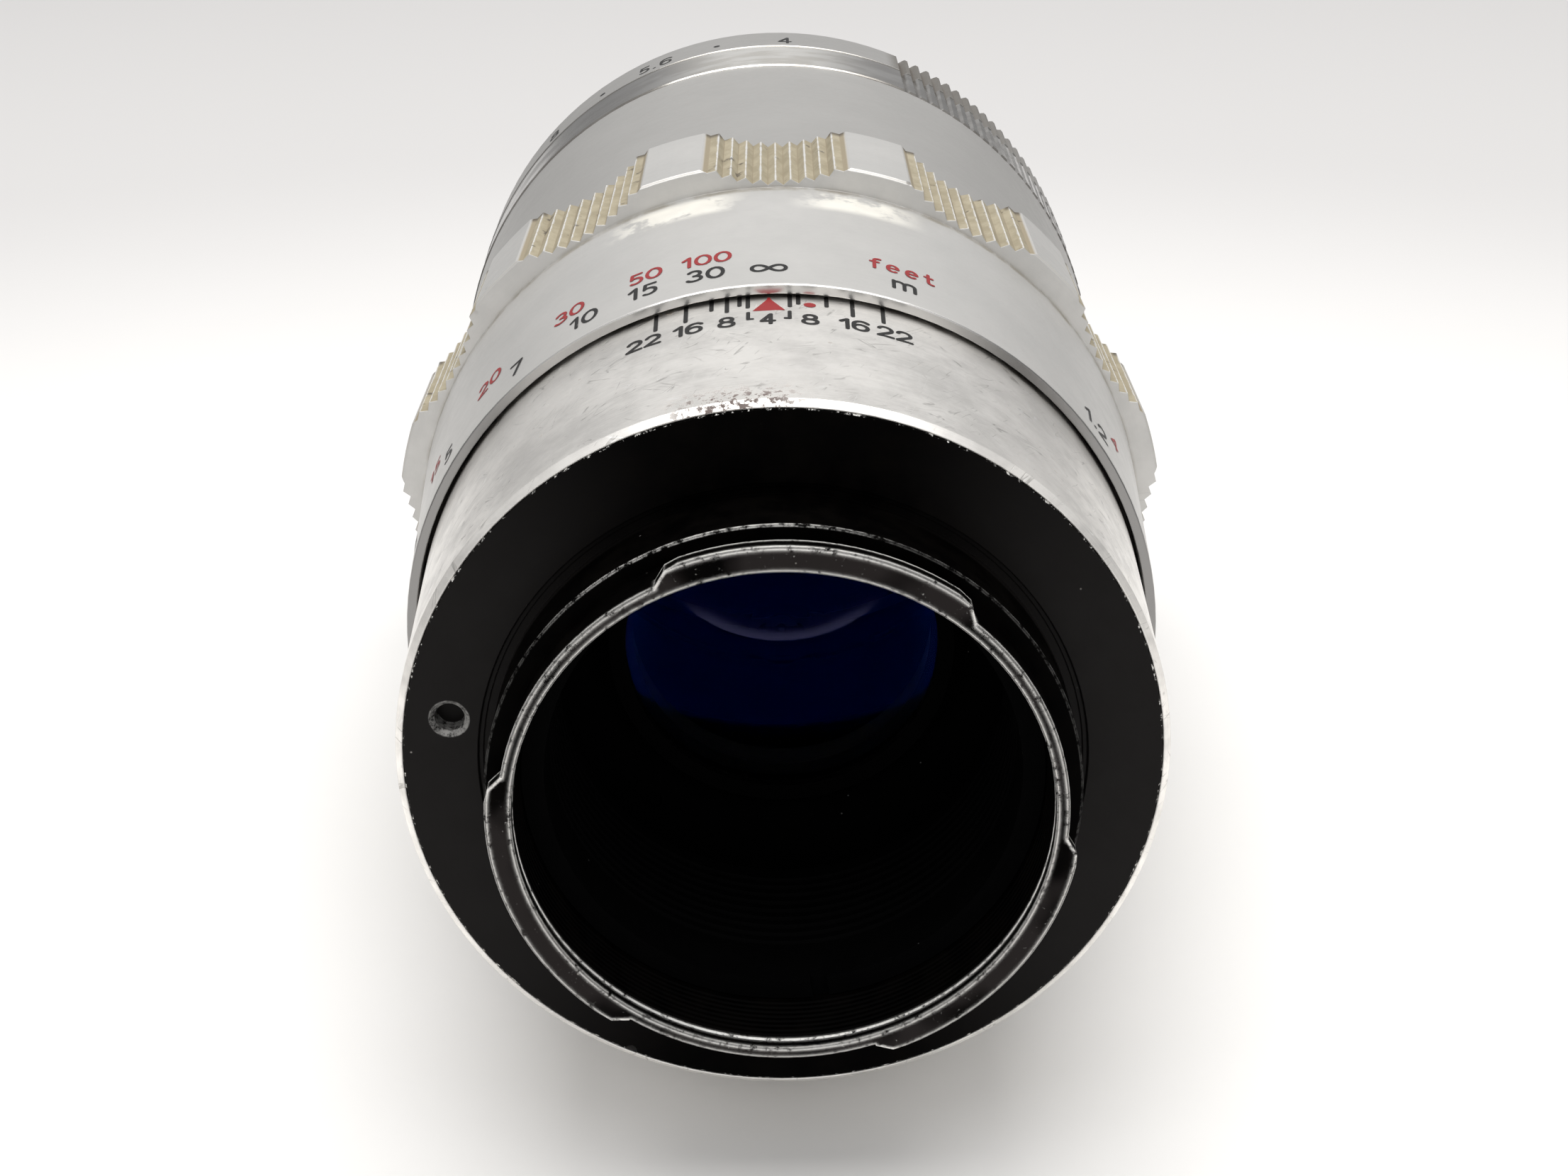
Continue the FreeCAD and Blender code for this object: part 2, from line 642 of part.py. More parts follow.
for number in range(BLADES):
    NODES["iris_blade_%d" % (number + 1)] = iris_blade(number)

os.makedirs("parts", exist_ok=True)
for name, shape in NODES.items():
    solids = len(shape.Solids)
    print(name, "solids", solids, "valid", shape.isValid(), "volume", round(shape.Volume, 2))
    shape.exportStep("parts/%s.step" % name)
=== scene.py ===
import bpy
import math
from mathutils import Matrix, Vector


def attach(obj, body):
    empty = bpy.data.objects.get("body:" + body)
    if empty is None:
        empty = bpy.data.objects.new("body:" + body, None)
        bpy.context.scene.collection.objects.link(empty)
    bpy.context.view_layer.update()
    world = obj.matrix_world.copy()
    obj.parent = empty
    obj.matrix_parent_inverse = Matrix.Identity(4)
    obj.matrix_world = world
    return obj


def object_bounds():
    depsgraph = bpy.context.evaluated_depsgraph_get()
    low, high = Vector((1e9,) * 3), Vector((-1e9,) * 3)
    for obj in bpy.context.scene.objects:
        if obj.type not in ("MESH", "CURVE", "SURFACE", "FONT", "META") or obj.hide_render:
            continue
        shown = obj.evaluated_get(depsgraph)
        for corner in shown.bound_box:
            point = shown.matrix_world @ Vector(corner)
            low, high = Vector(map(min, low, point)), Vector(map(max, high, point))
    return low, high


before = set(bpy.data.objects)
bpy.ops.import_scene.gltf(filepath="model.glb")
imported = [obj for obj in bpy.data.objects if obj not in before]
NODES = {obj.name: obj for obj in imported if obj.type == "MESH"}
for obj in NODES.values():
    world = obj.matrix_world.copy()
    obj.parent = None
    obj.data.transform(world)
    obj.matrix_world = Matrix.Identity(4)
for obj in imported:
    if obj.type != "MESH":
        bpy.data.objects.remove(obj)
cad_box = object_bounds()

# The optical axis is +Y, the rear of the lens faces -Y and the seating face of the
# mount is y = 0.  Angles are degrees clockwise from the top, seen from the rear.
# Lengths in this script are millimetres unless a name says otherwise.
MM = 0.001

# ---- surfaces of revolution that carry marks: (y rear, radius rear, y front, radius front) ----
FIXED_CONE = (0.45, 29.6, 21.3, 30.6)
SCALE_CONE = (21.3, 31.75, 44.5, 33.6)
STOP_CONE = (100.5, 35.23, 107.35, 35.3)
MARK_LIFT = 0.02

# ---- centre of the hole for the camera's locking pin, on the flange, and its worn ring ----
LOCK_HOLE = math.radians(-80.0)
LOCK_HOLE_OUT = 25.6
LOCK_RING_R = (1.12, 1.55)

# ---- rows of marks on the fixed ring and the stop ring ----
SEAM_Y = 21.45
DEPTH_NUMBERS_Y = 15.6
DEPTH_BRACKETS_Y = 16.7
TRIANGLE_Y = 18.45
TRIANGLE_HEIGHT = 2.85
TRIANGLE_HALF_WIDTH = 1.28
INFRARED_DOT_Y = 19.77
INFRARED_DOT_DEG = 6.06
DEGREES_PER_STOP_NUMBER = 0.778
STOP_NUMBERS_Y = 101.75
STOP_DOTS_Y = 103.0

# ---- rows and pitch of the distance scale ----
METRES_Y = 23.9
FEET_Y = 27.3
DEGREES_PER_MM = 15.147
FOCAL_LENGTH = 135.0
METRES_PER_FOOT = 0.3048
INDEX_DEG = -1.25
STOP_FOUR_DEG = 2.0

# ---- the grip: twelve scooped scallops, each with ten ribs ----
SCALLOP_PITCH = 30.0
SCALLOP_ROOT = 33.75
SCOOP_RADIUS = 16.18
RIB_DEPTH = 0.48
GRIP_Y = (44.6, 58.9)

# ---- zones of the rings that have their own finish ----
POLISHED_FACE_Y = (21.34, 21.42)
BARREL_BORE_R = (32.4, 32.6)
BRIGHT_BAND_Y = (100.40, 100.55)
FILTER_BORE_R = (28.7, 28.9)
FILTER_THREAD_PITCH = 0.75
LUG_FACE_Y = (-8.47, -8.35)

# ---- glass: its index, its coated faces along the axis, and the radius near the axis
# within which the mesh's own face normals are used ----
GLASS_INDEX = 1.52
COATING_INDEX = 1.55
REAR_GLASS_Y = (21.0, 23.4)
FRONT_GLASS_Y = (90.0, 110.0)
POLE_RADIUS = 4.3

# ---- pale reflection of an inner ring, drawn in the rear glass's coating ----
GHOST_RADIUS = 11.16
GHOST_WIDTH = 1.25
GHOST_TINT = (0.36, 0.37, 0.85)

# ---- the stack of iris blades ----
BLADE_STACK_Y = 91.23
BLADE_PITCH = 0.134

# ---- camera ----
CAMERA_PLACE = (0.0, -0.1522, 0.0838)
CAMERA_LENS = 52.08
CAMERA_PITCH = math.radians(24.342)
CAMERA_YAW = math.radians(0.082)
CAMERA_ROLL = math.radians(-0.730)


# ------------------------------------------------------------------ node graphs
class Graph:
    """Short names for the shader nodes that the materials below use."""

    def __init__(self, name, store=None, output="ShaderNodeOutputMaterial"):
        self.material = (bpy.data.materials if store is None else store).new(name)
        self.material.use_nodes = True
        self.tree = self.material.node_tree
        self.tree.nodes.clear()
        self.output = self.tree.nodes.new(output)
        self.place = None

    def put(self, socket, value):
        if isinstance(value, bpy.types.NodeSocket):
            self.tree.links.new(value, socket)
        elif value is not None:
            if socket.type == "RGBA" and len(value) == 3:
                value = (*value, 1.0)
            socket.default_value = value

    def node(self, kind, settings=None, **inputs):
        made = self.tree.nodes.new("ShaderNode" + kind)
        for key, value in (settings or {}).items():
            setattr(made, key, value)
        for key, value in inputs.items():
            self.put(made.inputs[key.replace("_", " ")], value)
        return made

    def math(self, operation, a, b=None, clamp=False):
        made = self.node("Math", {"operation": operation, "use_clamp": clamp})
        for socket, value in zip(made.inputs, (a, b)):
            self.put(socket, value)
        return made.outputs[0]

    def vector(self, x, y, z):
        return self.node("CombineXYZ", X=x, Y=y, Z=z).outputs[0]

    def smooth(self, value, low, high):
        """0 below low, 1 above high, and smooth between; low may be the larger one."""
        made = self.node("MapRange", {"interpolation_type": "SMOOTHSTEP"}, Value=value)
        if low > high:
            low, high = high, low
            self.put(made.inputs["To Min"], 1.0)
            self.put(made.inputs["To Max"], 0.0)
        self.put(made.inputs["From Min"], low)
        self.put(made.inputs["From Max"], high)
        return made.outputs[0]

    def between(self, value, low, high, soft):
        """1 from low to high and 0 outside, with soft ends."""
        up = self.smooth(value, low - soft, low + soft)
        down = self.smooth(value, high + soft, high - soft)
        return self.math("MULTIPLY", up, down)

    def reach(self, centre):
        """Distance, seen along the optical axis, from a point given with y = 0."""
        flat = self.node("VectorMath", {"operation": "MULTIPLY"}, Vector=self.place)
        self.put(flat.inputs[1], (1.0, 0.0, 1.0))
        gap = self.node("VectorMath", {"operation": "DISTANCE"})
        self.put(gap.inputs[0], flat.outputs[0])
        self.put(gap.inputs[1], centre)
        return gap.outputs["Value"]

    def crescent(self, radius, width):
        """A sickle standing on the axis, sharp below and fading upwards and towards its ends."""
        reach = self.reach((0.0, 0.0, radius))
        height = self.node("SeparateXYZ", None, Vector=self.place).outputs["Z"]
        inner = self.smooth(reach, radius - width, radius - 0.15 * width)
        return self.many("MULTIPLY", self.smooth(reach, radius + 0.06, radius - 0.06), inner,
                         self.smooth(height, 4.4, 1.6))

    def noise(self, vector, scale, detail=3.0, rough=0.55):
        made = self.node("TexNoise", None, Vector=vector, Scale=scale, Detail=detail,
                         Roughness=rough)
        return made.outputs["Fac"]

    def cells(self, vector, scale):
        return self.node("TexVoronoi", None, Vector=vector, Scale=scale).outputs["Distance"]

    def mix(self, factor, a, b):
        made = self.tree.nodes.new("ShaderNodeMix")
        made.data_type = "RGBA"
        self.put(made.inputs[0], factor)
        self.put(made.inputs[6], a)
        self.put(made.inputs[7], b)
        return made.outputs[2]

    def lerp(self, factor, a, b):
        made = self.tree.nodes.new("ShaderNodeMix")
        self.put(made.inputs[0], factor)
        self.put(made.inputs[2], a)
        self.put(made.inputs[3], b)
        return made.outputs[0]

    def many(self, operation, *values):
        result = values[0]
        for value in values[1:]:
            result = self.math(operation, result, value)
        return result

    def polar(self):
        """Object position in millimetres, and its radius, angle and place along the axis."""
        if self.place is None:
            where = self.node("TexCoord").outputs["Object"]
            scaled = self.node("VectorMath", {"operation": "SCALE"}, Vector=where, Scale=1000.0)
            self.place = scaled.outputs[0]
            split = self.node("SeparateXYZ", None, Vector=self.place)
            x, y, z = split.outputs
            square = self.math("ADD", self.math("MULTIPLY", x, x), self.math("MULTIPLY", z, z))
            self.radius = self.math("SQRT", square)
            self.angle = self.math("ARCTAN2", x, z)
            self.along = y
        return self.radius, self.angle, self.along

    def degrees(self):
        return self.math("MULTIPLY", self.polar()[1], 180.0 / math.pi)

    def lathe_lines(self, pitch=0.12):
        """Fine uneven rings left by turning, nearly the same all the way round."""
        radius, angle, along = self.polar()
        run = self.math("ADD", along, radius)
        where = self.vector(self.math("DIVIDE", run, pitch), self.math("MULTIPLY", angle, 1.5), 0.0)
        return self.noise(where, 1.0, 2.0, 0.6)

    def scratches(self, turn, length, width, seed, density=0.5):
        """Thin broken lines on a surface of revolution, lying at an angle to the axis."""
        _, angle, along = self.polar()
        around = self.math("MULTIPLY", angle, 30.0)
        c, s = math.cos(math.radians(turn)), math.sin(math.radians(turn))
        u = self.math("ADD", self.math("MULTIPLY", around, c), self.math("MULTIPLY", along, s))
        v = self.math("SUBTRACT", self.math("MULTIPLY", along, c), self.math("MULTIPLY", around, s))
        where = self.vector(self.math("DIVIDE", u, length), v, seed)
        field = self.noise(where, 1.0, 1.0, 0.4)
        gap = self.math("ABSOLUTE", self.math("SUBTRACT", field, 0.5))
        line = self.smooth(gap, width, 0.0)
        breaks = self.noise(self.vector(u, v, seed + 3.0), 0.45, 2.0)
        share = 1.0 - density
        return self.math("MULTIPLY", line, self.smooth(breaks, share - 0.04, share + 0.06))

    def edge(self, size, low, high):
        """1 at the sharp edges of the shape, 0 on its open faces."""
        rounded = self.node("Bevel", {"samples": 6}, Radius=size * MM).outputs[0]
        flat = self.node("NewGeometry").outputs["Normal"]
        same = self.node("VectorMath", {"operation": "DOT_PRODUCT"}).outputs["Value"]
        dot = same.node
        self.put(dot.inputs[0], rounded)
        self.put(dot.inputs[1], flat)
        return self.smooth(same, high, low)

    def bump(self, height, strength, distance=0.02, rounding=0.0):
        made = self.node("Bump", None, Height=height, Strength=strength, Distance=distance * MM)
        if rounding:
            rounded = self.node("Bevel", {"samples": 4}, Radius=rounding * MM).outputs[0]
            self.put(made.inputs["Normal"], rounded)
        return made.outputs[0]

    def finish(self, **inputs):
        shader = self.node("BsdfPrincipled")
        for key, value in inputs.items():
            self.put(shader.inputs[key.replace("_", " ")], value)
        self.put(self.output.inputs["Surface"], shader.outputs[0])
        return self.material


# ------------------------------------------------------------------ metal finishes
SILVER = (0.70, 0.695, 0.68)
SILVER_DULL = (0.56, 0.555, 0.545)
GRIME = (0.275, 0.235, 0.155)
GRIME_PALE = (0.365, 0.32, 0.225)
# dark dirt, also used as painted shadow at the scallops' front ends
DARK_DIRT_AND_SHADE = (0.055, 0.045, 0.035)
BARREL_INSIDE = (0.001, 0.001, 0.001)
BARE_METAL = (0.98, 0.965, 0.93)


def satin_base(g, bright, dull, line_pitch=0.12, rough=0.36):
    """Colour, roughness and height of worn satin chrome, before zone details."""
    g.polar()
    cloud = g.noise(g.place, 0.12, 4.0, 0.6)
    smear = g.noise(g.place, 0.6, 5.0, 0.65)
    lines = g.lathe_lines(line_pitch)
    blend = g.many("ADD", g.math("MULTIPLY", cloud, 0.5), g.math("MULTIPLY", smear, 0.35),
                   g.math("MULTIPLY", lines, 0.15))
    colour = g.mix(g.smooth(blend, 0.34, 0.64), dull, bright)
    spread = g.lerp(g.smooth(smear, 0.3, 0.7), rough + 0.04, rough - 0.04)
    return colour, spread, lines


def fixed_ring_metal():
    """Bright worn chrome with many scratches, dents and dark pits by the rear edge."""
    g = Graph("fixed_ring_chrome")
    _, _, along = g.polar()
    colour, rough, lines = satin_base(g, (0.96, 0.935, 0.895), (0.66, 0.643, 0.617))
    dark = g.many("MAXIMUM", g.scratches(62.0, 9.0, 0.012, 1.0, 0.42),
                  g.scratches(-48.0, 11.0, 0.010, 5.0, 0.40), g.scratches(20.0, 6.0, 0.012, 9.0, 0.42))
    colour = g.mix(g.math("MULTIPLY", dark, 0.55), colour, (0.26, 0.25, 0.235))
    light = g.many("MAXIMUM", g.scratches(-15.0, 8.0, 0.010, 13.0, 0.40),
                   g.scratches(80.0, 12.0, 0.009, 17.0, 0.38))
    colour = g.mix(g.math("MULTIPLY", light, 0.7), colour, (0.97, 0.96, 0.94))
    degrees = g.degrees()
    patch = g.math("MULTIPLY", g.between(degrees, -15.0, 3.0, 4.0), g.smooth(along, 4.4, 1.0))
    pits = g.smooth(g.noise(g.place, 1.7, 5.0, 0.7), 0.49, 0.58)
    pits = g.math("MULTIPLY", pits, patch)
    colour = g.mix(g.math("MULTIPLY", pits, 0.9), colour, (0.07, 0.035, 0.028))
    specks = g.smooth(g.cells(g.place, 0.55), 0.16, 0.07)
    specks = g.math("MULTIPLY", specks, g.smooth(g.noise(g.place, 0.23, 2.0), 0.52, 0.64))
    colour = g.mix(g.math("MULTIPLY", specks, 0.7), colour, (0.12, 0.10, 0.08))
    seam = g.many("MULTIPLY", g.smooth(along, 19.9, 21.2),
                  g.smooth(g.noise(g.place, 0.8, 4.0, 0.7), 0.42, 0.56),
                  g.between(degrees, -19.0, -14.0, 3.0))
    film = g.math("MULTIPLY", g.smooth(along, 20.7, 21.4),
                  g.smooth(g.noise(g.place, 0.25, 3.0), 0.42, 0.62))
    soiled = g.math("MAXIMUM", seam, g.math("MULTIPLY", film, 0.6))
    colour = g.mix(g.math("MULTIPLY", soiled, 0.85), colour, (0.11, 0.075, 0.045))
    rough = g.math("ADD", rough, g.math("MULTIPLY", pits, 0.3))
    height = g.math("SUBTRACT", g.math("MULTIPLY", lines, 0.12),
                    g.math("ADD", g.math("MULTIPLY", dark, 0.9), pits))
    dents = g.math("MULTIPLY", g.noise(g.place, 0.35, 2.0), 0.9)
    normal = g.bump(g.math("ADD", height, dents), 0.25, 0.05, 0.12)
    bare = g.math("SUBTRACT", 0.85, g.many("MAXIMUM", pits, specks, seam), clamp=True)
    return g.finish(Base_Color=colour, Metallic=bare, Roughness=rough, Normal=normal)


def scallop_depth(g):
    """How deep a point lies in its scallop's ribs: 0 on a crest, RIB_DEPTH in a valley."""
    radius, angle, _ = g.polar()
    sector = g.math("ROUND", g.math("DIVIDE", g.degrees(), SCALLOP_PITCH))
    turn = g.math("SUBTRACT", angle, g.math("MULTIPLY", sector, math.radians(SCALLOP_PITCH)))
    across = g.math("MULTIPLY", radius, g.math("SINE", turn))
    rise = g.math("MULTIPLY", radius, g.math("COSINE", turn))
    down = g.math("SUBTRACT", SCALLOP_ROOT + SCOOP_RADIUS, rise)
    square = g.math("ADD", g.math("MULTIPLY", across, across), g.math("MULTIPLY", down, down))
    return g.math("SUBTRACT", g.math("SQRT", square), SCOOP_RADIUS - RIB_DEPTH)


def focus_ring_metal():
    """Satin chrome with yellowed dirt in the grip's grooves and a polished rear face; the rear face
    carries a painted reflection, the rib crests and two arcs near the top carry painted highlights, and
    the scallops' front ends a painted shadow.
    """
    g = Graph("focus_ring_chrome")
    radius, _, along = g.polar()
    colour, rough, lines = satin_base(g, (0.60, 0.59, 0.572), (0.545, 0.538, 0.522), 0.12, 0.44)
    grip = g.between(along, *GRIP_Y, 0.05)
    depth = scallop_depth(g)
    dirt_noise = g.noise(g.place, 0.9, 4.0, 0.6)
    level = g.math("ADD", depth, g.math("MULTIPLY", g.math("SUBTRACT", dirt_noise, 0.5), 0.22))
    inside = g.math("MULTIPLY", g.smooth(depth, -0.35, -0.1), g.smooth(radius, 35.76, 35.6))
    grime = g.many("MULTIPLY", grip, inside, g.smooth(level, 0.0, 0.09))
    shade = g.mix(g.smooth(g.noise(g.place, 0.45, 5.0, 0.7), 0.36, 0.66), GRIME, GRIME_PALE)
    shade = g.mix(g.smooth(depth, 0.42, 0.48), shade, (0.27, 0.225, 0.15))
    # The rib crests are painted near-white: polished by wear, and brightened further as a painted
    # highlight.
    crest = g.many("MULTIPLY", grip, g.smooth(radius, 35.7, 35.5), g.between(depth, -0.05, 0.03, 0.03))
    colour = g.mix(crest, colour, (0.93, 0.92, 0.89))
    colour = g.mix(g.math("MULTIPLY", grime, 0.95), colour, shade)
    corner = g.math("MULTIPLY", g.between(along, 43.7, 44.55, 0.3), g.smooth(radius, 33.9, 33.5))
    corner = g.math("MULTIPLY", corner, g.smooth(g.noise(g.place, 0.4, 3.0), 0.35, 0.6))
    colour = g.mix(g.math("MULTIPLY", corner, 0.55), colour, (0.24, 0.20, 0.13))
    clot = g.many("MULTIPLY", grip, inside, g.smooth(g.noise(g.place, 0.5, 4.0), 0.63, 0.70))
    colour = g.mix(g.math("MULTIPLY", clot, 0.75), colour, DARK_DIRT_AND_SHADE)
    # The front ends of the scallops, near their rim, are painted dark: a painted shadow.
    ends = g.many("MULTIPLY", inside, g.smooth(along, 57.2, 58.6), g.smooth(radius, 34.9, 35.3))
    colour = g.mix(g.math("MULTIPLY", ends, 0.8), colour, DARK_DIRT_AND_SHADE)
    marks = g.scratches(35.0, 12.0, 0.006, 21.0, 0.36)
    colour = g.mix(g.math("MULTIPLY", marks, 0.35), colour, (0.40, 0.39, 0.38))
    specks = g.smooth(g.cells(g.place, 0.35), 0.12, 0.05)
    specks = g.math("MULTIPLY", specks, g.smooth(g.noise(g.place, 0.19, 2.0), 0.58, 0.70))
    colour = g.mix(g.math("MULTIPLY", specks, 0.6), colour, DARK_DIRT_AND_SHADE)
    degrees = g.degrees()
    # Two arcs near the top, just behind the grip, are painted a bright warm white: a painted highlight
    # with ragged edges.
    worn = g.math("MAXIMUM", g.between(degrees, -24.0, -7.0, 4.0), g.between(degrees, 5.0, 20.0, 4.0))
    ragged = g.smooth(g.noise(g.place, 0.22, 4.0, 0.65), 0.38, 0.50)
    warm_highlight = g.many("MULTIPLY", worn, g.between(along, 39.6, 43.4, 0.8), ragged)
    colour = g.mix(g.math("MULTIPLY", warm_highlight, 0.9), colour, (1.0, 0.975, 0.90))
    polished = g.smooth(along, POLISHED_FACE_Y[1], POLISHED_FACE_Y[0])
    # The polished rear face is painted as a reflection: dark grey round most of the ring and lighter
    # across the top.
    painted_reflection_tone = g.mix(g.between(degrees, -42.0, 30.0, 9.0), (0.26, 0.255, 0.25), (0.66, 0.65, 0.635))
    colour = g.mix(polished, colour, painted_reflection_tone)
    rough = g.lerp(polished, rough, 0.17)
    rough = g.math("MAXIMUM", rough, g.math("MULTIPLY", grime, 0.6))
    metallic = g.math("SUBTRACT", g.lerp(polished, 0.62, 1.0), grime, clamp=True)
    height = g.math("ADD", g.math("MULTIPLY", lines, 0.10), g.math("MULTIPLY", dirt_noise, grime))
    normal = g.bump(height, g.lerp(polished, 0.22, 0.02), 0.04, 0.12)
    return g.finish(Base_Color=colour, Metallic=metallic, Roughness=rough, Specular_IOR_Level=0.3,
                    Normal=normal)


def front_barrel_metal():
    """Even satin chrome with faint smudges and rub marks."""
    g = Graph("front_barrel_chrome")
    radius, _, _ = g.polar()
    colour, rough, lines = satin_base(g, (0.425, 0.417, 0.403), (0.395, 0.388, 0.375), 0.12, 0.42)
    rub = g.math("MULTIPLY", g.scratches(5.0, 14.0, 0.02, 31.0, 0.40), 0.4)
    colour = g.mix(rub, colour, (0.42, 0.415, 0.40))
    inside = g.smooth(radius, BARREL_BORE_R[1], BARREL_BORE_R[0])
    colour = g.mix(inside, colour, BARREL_INSIDE)
    normal = g.bump(lines, 0.10, 0.02, 0.12)
    return g.finish(Base_Color=colour, Metallic=0.55, Roughness=rough, Specular_IOR_Level=0.3,
                    Normal=normal)


def stop_ring_metal():
    """Satin scale band in front of a turned band with a painted highlight across its top and a painted
    dark reflection round the rest; the knurling's grooves are darker towards the front.
    """
    g = Graph("stop_ring_chrome")
    radius, angle, along = g.polar()
    colour, rough, lines = satin_base(g, (0.375, 0.368, 0.356), (0.35, 0.343, 0.332), 0.12, 0.42)
    band = g.smooth(along, BRIGHT_BAND_Y[1], BRIGHT_BAND_Y[0])
    degrees = g.degrees()
    # The turned band is painted as light falls on it: bright across the top as a painted highlight, dark
    # round the rest as a painted reflection of darker surroundings.
    top_highlight_arc = g.between(degrees, -15.0, 11.0, 9.0)
    knurled = g.between(degrees, 22.0, 200.0, 1.5)
    unrolled = g.vector(g.math("MULTIPLY", angle, 14.0), along, 0.0)
    smears = g.smooth(g.noise(unrolled, 0.35, 3.0), 0.40, 0.62)
    dull = g.mix(smears, (0.24, 0.228, 0.213), (0.33, 0.319, 0.301))
    highlight_tone = g.mix(smears, (0.80, 0.765, 0.70), (1.0, 0.975, 0.92))
    colour = g.mix(band, colour, g.mix(top_highlight_arc, dull, highlight_tone))
    rough = g.lerp(band, rough, g.lerp(smears, 0.22, 0.12))
    shadow = g.many("MULTIPLY", knurled, g.smooth(along, 100.3, 100.7), g.smooth(degrees, 75.0, 35.0))
    colour = g.mix(g.math("MULTIPLY", shadow, 0.85), colour, (0.15, 0.135, 0.115))
    # The knurl grooves are darkened, more towards the front.
    groove = g.smooth(radius, 35.12, 34.75)
    dirt = g.math("MULTIPLY", groove, g.lerp(g.smooth(along, 97.0, 102.0), 0.35, 0.95))
    colour = g.mix(dirt, colour, (0.13, 0.115, 0.10))
    metallic = g.math("SUBTRACT", g.lerp(band, 0.55, 1.0), g.math("MULTIPLY", dirt, 0.7), clamp=True)
    normal = g.bump(lines, g.lerp(band, 0.15, 0.04), 0.02, 0.10)
    return g.finish(Base_Color=colour, Metallic=metallic, Roughness=rough, Normal=normal)


def filter_rim_metal():
    """Satin chrome with the fine screw thread cut inside the front rim."""
    g = Graph("filter_rim_chrome")
    radius, angle, along = g.polar()
    colour, rough, lines = satin_base(g, SILVER, SILVER_DULL)
    turns = g.math("ADD", g.math("DIVIDE", along, FILTER_THREAD_PITCH),
                   g.math("DIVIDE", angle, 2.0 * math.pi))
    thread = g.math("PINGPONG", turns, 0.5)
    inside = g.smooth(radius, FILTER_BORE_R[1], FILTER_BORE_R[0])
    normal = g.bump(g.lerp(inside, g.math("MULTIPLY", lines, 0.03), thread), 0.9, 0.4, 0.10)
    colour = g.mix(g.math("MULTIPLY", inside, 0.5), colour, (0.35, 0.34, 0.32))
    return g.finish(Base_Color=colour, Metallic=1.0, Roughness=rough, Normal=normal)


def turned_metal(name, bright, dull, rough, pitch=0.2, grease=False):
    """Plain machined metal for inner parts, black with old grease at its rear end where asked."""
    g = Graph(name)
    colour, spread, lines = satin_base(g, bright, dull, pitch)
    if grease:
        colour = g.mix(g.smooth(g.polar()[2], 30.0, 26.0), colour, (0.012, 0.011, 0.010))
    normal = g.bump(lines, 0.25, 0.03, 0.08)
    return g.finish(Base_Color=colour, Metallic=1.0, Roughness=g.math("MULTIPLY", spread, rough / 0.35),
                    Normal=normal)


